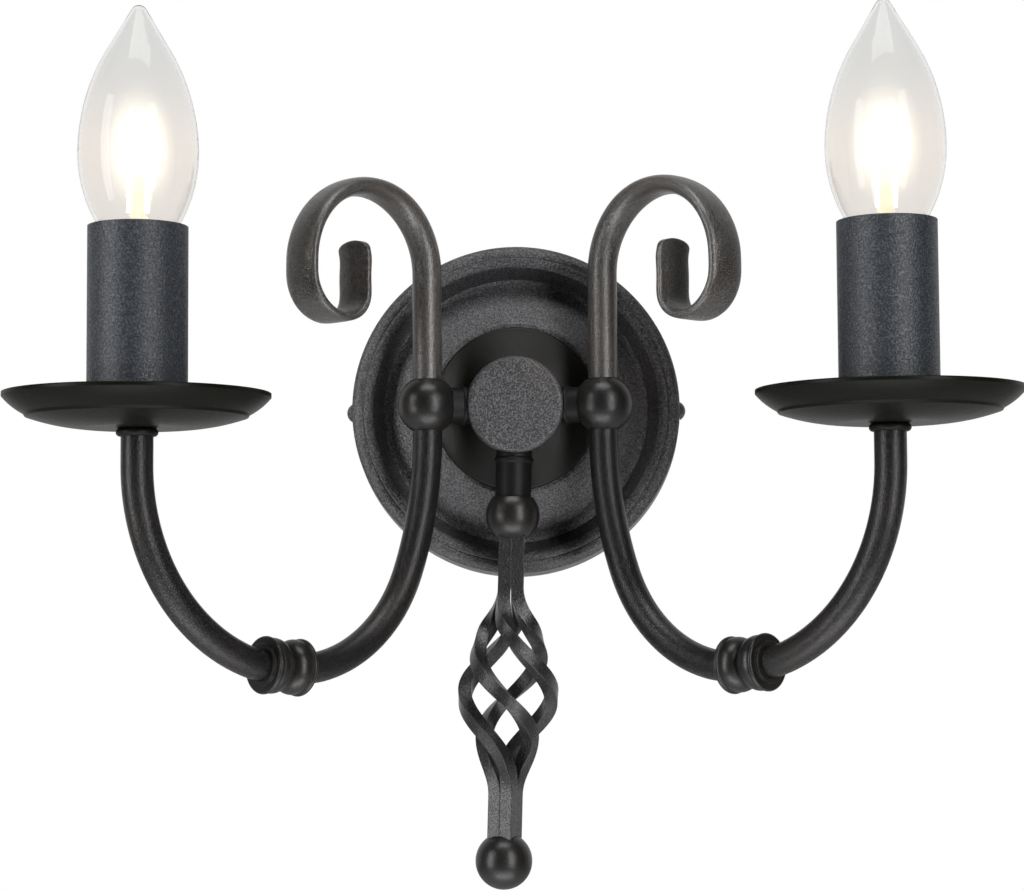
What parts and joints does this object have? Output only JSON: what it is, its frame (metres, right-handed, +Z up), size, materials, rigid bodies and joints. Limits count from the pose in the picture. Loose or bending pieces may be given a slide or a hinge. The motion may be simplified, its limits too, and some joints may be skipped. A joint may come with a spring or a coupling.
{
  "type": "wall lamp",
  "caption": "Wrought style black wall lamp with scrolled arms, drip pans, candle sleeves with bulbs and a twisted basket finial on a round canopy.",
  "frame": {"origin": "on the wall plane, behind the centre of the canopy and hub, midway between the bracket's slots", "axes": "+Y into the wall, so the front of the lamp looks along -Y; +Z up; +X to the viewer's right"},
  "size_m": [0.2932, 0.1564, 0.2649],
  "materials": {
    "black_paint": "textured charcoal black powder coat",
    "zinc_steel": "satin zinc plate",
    "brass": "satin",
    "nickel": "bright nickel plate",
    "black_plastic": "matt moulded",
    "white_plastic": "matt moulded",
    "clear_glass": "clear polished",
    "stem_glass": "clear pinched",
    "glow_wire": "bright glowing wire",
    "lead_sheath": "matt flexible sheath"
  },
  "bodies": {
    "lamp_body": {"wall_bracket": "zinc_steel", "earth_screw": "brass", "terminal_block": "white_plastic", "terminal_barrels": "brass", "terminal_screws": "zinc_steel", "backplate": "black_paint", "hub_cone": "black_paint", "hub_boss": "black_paint", "hub_nipple": "zinc_steel", "hub_nut": "zinc_steel", "stub_lower": "black_paint", "finial_ball_top": "black_paint", "finial_ball_bottom": "black_paint", "finial_bar_1": "black_paint", "finial_bar_2": "black_paint", "finial_bar_3": "black_paint", "finial_bar_4": "black_paint", "stub_left": "black_paint", "stub_right": "black_paint", "ball_left": "black_paint", "ball_right": "black_paint", "scroll_left": "black_paint", "scroll_right": "black_paint", "arm_inner_left": "black_paint", "arm_inner_right": "black_paint", "knuckle_left": "black_paint", "knuckle_right": "black_paint", "arm_outer_left": "black_paint", "arm_outer_right": "black_paint", "pan_collar_left": "black_paint", "pan_collar_right": "black_paint", "pan_left": "black_paint", "pan_right": "black_paint", "candle_nipple_left": "zinc_steel", "candle_nipple_right": "zinc_steel", "nipple_nut_left": "zinc_steel", "nipple_nut_right": "zinc_steel", "holder_body_left": "black_plastic", "holder_body_right": "black_plastic", "holder_shell_left": "nickel", "holder_shell_right": "nickel", "holder_contact_left": "brass", "holder_contact_right": "brass", "lamp_lead_left": "lead_sheath", "lamp_lead_right": "lead_sheath"},
    "bulb_left": {"bulb_glass_left": "clear_glass", "bulb_cap_left": "nickel", "bulb_eyelet_left": "nickel", "bulb_stem_left": "stem_glass", "bulb_filament_left": "glow_wire"},
    "sleeve_left": {"sleeve_left": "black_paint"},
    "canopy_screw_left": {"canopy_screw_left": "black_paint"},
    "bulb_right": {"bulb_glass_right": "clear_glass", "bulb_cap_right": "nickel", "bulb_eyelet_right": "nickel", "bulb_stem_right": "stem_glass", "bulb_filament_right": "glow_wire"},
    "sleeve_right": {"sleeve_right": "black_paint"},
    "canopy_screw_right": {"canopy_screw_right": "black_paint"}
  },
  "joints": [
    {"name": "bulb_left_unscrew", "type": "hinge", "parent": "lamp_body", "child": "bulb_left", "pos_m": [-0.1081, -0.1179, 0.03], "axis": [0, 0, 1], "range_deg": [0, 1800]},
    {"name": "sleeve_left_turn", "type": "hinge", "parent": "lamp_body", "child": "sleeve_left", "pos_m": [-0.1081, -0.1179, 0.01], "axis": [0, 0, 1], "continuous": true},
    {"name": "canopy_screw_left_turn", "type": "hinge", "parent": "lamp_body", "child": "canopy_screw_left", "pos_m": [-0.05, -0.008, 0], "axis": [-1, 0, 0], "range_deg": [0, 3240]},
    {"name": "bulb_right_unscrew", "type": "hinge", "parent": "lamp_body", "child": "bulb_right", "pos_m": [0.1081, -0.1179, 0.03], "axis": [0, 0, 1], "range_deg": [0, 1800]},
    {"name": "sleeve_right_turn", "type": "hinge", "parent": "lamp_body", "child": "sleeve_right", "pos_m": [0.1081, -0.1179, 0.01], "axis": [0, 0, 1], "continuous": true},
    {"name": "canopy_screw_right_turn", "type": "hinge", "parent": "lamp_body", "child": "canopy_screw_right", "pos_m": [0.05, -0.008, 0], "axis": [1, 0, 0], "range_deg": [0, 3240]}
  ]
}
